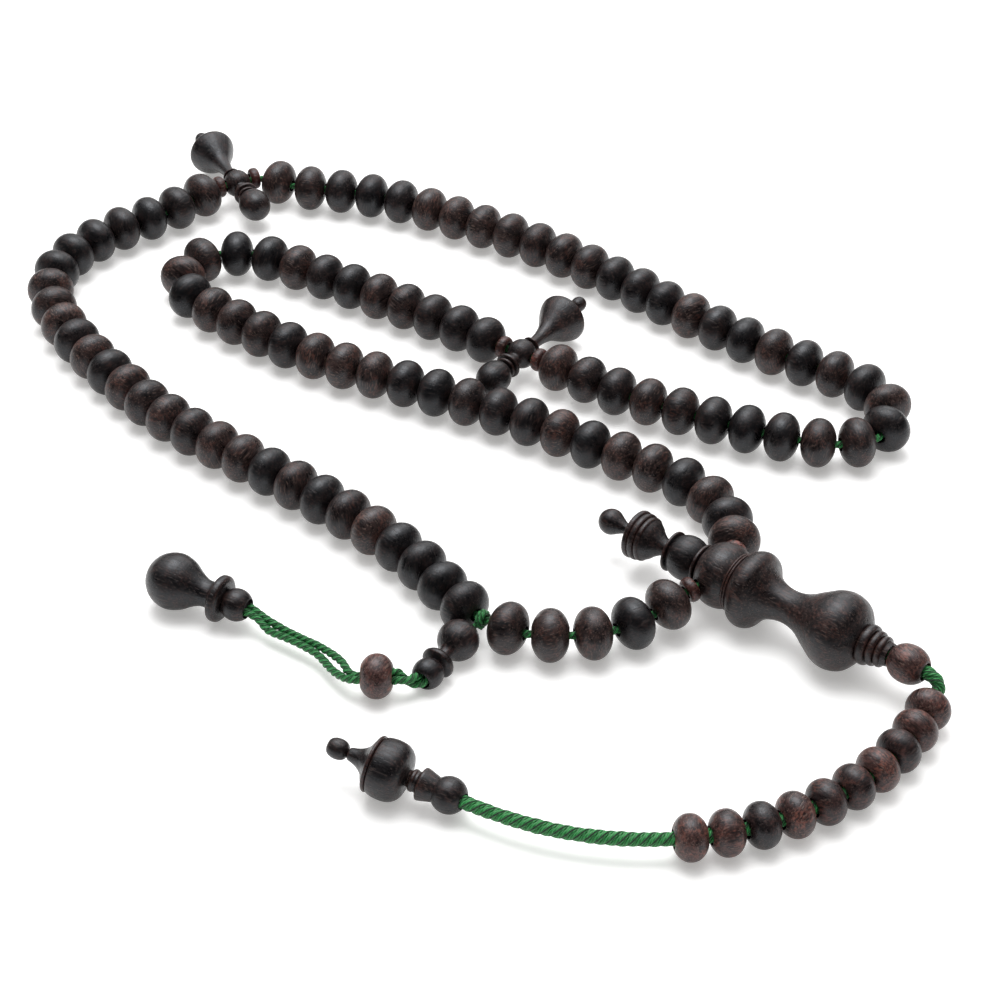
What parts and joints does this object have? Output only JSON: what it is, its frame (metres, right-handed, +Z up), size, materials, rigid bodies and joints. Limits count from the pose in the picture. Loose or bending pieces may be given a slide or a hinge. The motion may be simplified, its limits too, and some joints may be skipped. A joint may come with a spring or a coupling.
{
  "type": "prayer beads",
  "caption": "Closed strand of turned dark wooden beads on green cord, with two markers, a turned head, a cord tail with sliding counters and a side pendant.",
  "frame": {"origin": "centre of the bounding box, on the table that the beads lie on", "axes": "+Y along the longest extent, away from the viewer, +X to the viewer's right, +Z up"},
  "size_m": [0.1437, 0.1848, 0.0116],
  "materials": {
    "dark_wood": "satin",
    "brown_wood": "satin",
    "washer_wood": "satin",
    "green_cord": "matte"
  },
  "bodies": {
    "strand": {"imame_body": "dark_wood", "imame_ball": "dark_wood", "imame_finial": "dark_wood", "imame_washer_front": "washer_wood", "imame_washer_back": "washer_wood", "strand_cord": "green_cord", "tail_cord": "green_cord", "left_beads_1": "dark_wood", "left_beads_2": "dark_wood", "left_beads_3": "dark_wood", "left_beads_4": "dark_wood", "far_beads_1": "dark_wood", "far_beads_2": "dark_wood", "far_beads_3": "dark_wood", "far_beads_4": "dark_wood", "far_beads_5": "dark_wood", "inner_beads_1": "dark_wood", "inner_beads_2": "dark_wood", "inner_beads_3": "dark_wood", "inner_beads_4": "dark_wood", "inner_beads_5": "dark_wood", "marker_a_washer_in": "washer_wood", "marker_a_washer_out": "washer_wood", "marker_b_washer_in": "washer_wood", "marker_b_washer_out": "washer_wood", "pendant_loop": "green_cord", "finial_ball": "dark_wood", "finial_spool": "dark_wood", "finial_barrel": "dark_wood", "finial_tip": "dark_wood"},
    "counter_1": {"counter_1": "brown_wood"},
    "counter_2": {"counter_2": "brown_wood"},
    "counter_3": {"counter_3": "brown_wood"},
    "counter_4": {"counter_4": "brown_wood"},
    "counter_5": {"counter_5": "brown_wood"},
    "counter_6": {"counter_6": "brown_wood"},
    "counter_7": {"counter_7": "brown_wood"},
    "counter_8": {"counter_8": "brown_wood"},
    "counter_9": {"counter_9": "brown_wood"},
    "counter_10": {"counter_10": "brown_wood"},
    "loose_bead_1": {"loose_bead_1": "dark_wood"},
    "loose_bead_2": {"loose_bead_2": "dark_wood"},
    "loose_bead_3": {"loose_bead_3": "dark_wood"},
    "loose_bead_4": {"loose_bead_4": "dark_wood"},
    "loose_bead_5": {"loose_bead_5": "dark_wood"},
    "marker_a": {"marker_a_ball": "dark_wood", "marker_a_horn": "dark_wood"},
    "marker_b": {"marker_b_ball": "dark_wood", "marker_b_horn": "dark_wood"},
    "tail_ball": {"tail_ball": "brown_wood"},
    "pendant": {"pendant_hub": "dark_wood", "pendant_cup": "dark_wood", "pendant_cord_front": "green_cord", "pendant_cord_back": "green_cord"},
    "rondelle": {"pendant_rondelle": "brown_wood"},
    "pear": {"pear_ball": "dark_wood", "pear_bulb": "dark_wood"}
  },
  "joints": [
    {"name": "counter_1_slide_round", "type": "hinge", "parent": "strand", "child": "counter_1", "pos_m": [0.026, -0.0465, 0.00323], "axis": [0, 0, -1], "range_deg": [0, 3.5]},
    {"name": "counter_2_slide_round", "type": "hinge", "parent": "counter_1", "child": "counter_2", "pos_m": [0.026, -0.0465, 0.00323], "axis": [0, 0, -1], "range_deg": [0, 3.5]},
    {"name": "counter_3_slide_round", "type": "hinge", "parent": "counter_2", "child": "counter_3", "pos_m": [0.026, -0.0465, 0.00323], "axis": [0, 0, -1], "range_deg": [0, 3.5]},
    {"name": "counter_4_slide_round", "type": "hinge", "parent": "counter_3", "child": "counter_4", "pos_m": [0.026, -0.0465, 0.00323], "axis": [0, 0, -1], "range_deg": [0, 3.5]},
    {"name": "counter_5_slide_round", "type": "hinge", "parent": "counter_4", "child": "counter_5", "pos_m": [0.026, -0.0465, 0.00323], "axis": [0, 0, -1], "range_deg": [0, 3.5]},
    {"name": "counter_6_slide_round", "type": "hinge", "parent": "counter_5", "child": "counter_6", "pos_m": [0.026, -0.0465, 0.00323], "axis": [0, 0, -1], "range_deg": [0, 3.5]},
    {"name": "counter_7_slide_round", "type": "hinge", "parent": "counter_6", "child": "counter_7", "pos_m": [0.026, -0.0465, 0.00323], "axis": [0, 0, -1], "range_deg": [0, 3.5]},
    {"name": "counter_8_slide_round", "type": "hinge", "parent": "counter_7", "child": "counter_8", "pos_m": [0.026, -0.0465, 0.00323], "axis": [0, 0, -1], "range_deg": [0, 3.5]},
    {"name": "counter_9_slide_round", "type": "hinge", "parent": "counter_8", "child": "counter_9", "pos_m": [0.026, -0.0465, 0.00323], "axis": [0, 0, -1], "range_deg": [0, 3.5]},
    {"name": "counter_10_slide_round", "type": "hinge", "parent": "counter_9", "child": "counter_10", "pos_m": [0.026, -0.0465, 0.00323], "axis": [0, 0, -1], "range_deg": [0, 3.5]},
    {"name": "loose_bead_1_slide", "type": "slide", "parent": "strand", "child": "loose_bead_1", "axis": [-0.7928, -0.5752, -0.2015], "range_m": [-0.0002, 0.0002]},
    {"name": "loose_bead_2_slide", "type": "slide", "parent": "strand", "child": "loose_bead_2", "axis": [-0.8677, -0.495, -0.0461], "range_m": [-0.0002, 0.0002]},
    {"name": "loose_bead_3_slide", "type": "slide", "parent": "strand", "child": "loose_bead_3", "axis": [-0.984, -0.1782, 0.0071], "range_m": [-0.0002, 0.0002]},
    {"name": "loose_bead_4_slide", "type": "slide", "parent": "strand", "child": "loose_bead_4", "axis": [-0.9994, 0.0339, 0], "range_m": [-0.0002, 0.0002]},
    {"name": "loose_bead_5_slide", "type": "slide", "parent": "strand", "child": "loose_bead_5", "axis": [-0.899, 0.4379, 0], "range_m": [-0.0002, 0.0002]},
    {"name": "marker_a_turn", "type": "hinge", "parent": "strand", "child": "marker_a", "pos_m": [-0.0397, 0.0754, 0.00413], "axis": [0.8988, 0.4384, 0], "range_deg": [0, 180]},
    {"name": "marker_b_turn", "type": "hinge", "parent": "strand", "child": "marker_b", "pos_m": [0.0105, 0.021, 0.00413], "axis": [0.8387, -0.5446, 0], "range_deg": [0, 10]},
    {"name": "tail_ball_spin", "type": "hinge", "parent": "strand", "child": "tail_ball", "pos_m": [0.06301, -0.05795, 0.00583], "axis": [0.7771, -0.6293, 0], "continuous": true},
    {"name": "pendant_swing", "type": "hinge", "parent": "strand", "child": "pendant", "pos_m": [0.00115, -0.04955, 0.00303], "axis": [0, 0, 1], "range_deg": [-20, 30]},
    {"name": "rondelle_slide", "type": "slide", "parent": "pendant", "child": "rondelle", "axis": [-0.9986, 0.0523, 0], "range_m": [-0.001, 0.001]},
    {"name": "pear_spin", "type": "hinge", "parent": "pendant", "child": "pear", "pos_m": [-0.0305, -0.0423, 0.00353], "axis": [-0.8967, 0.4374, 0.0678], "continuous": true}
  ]
}
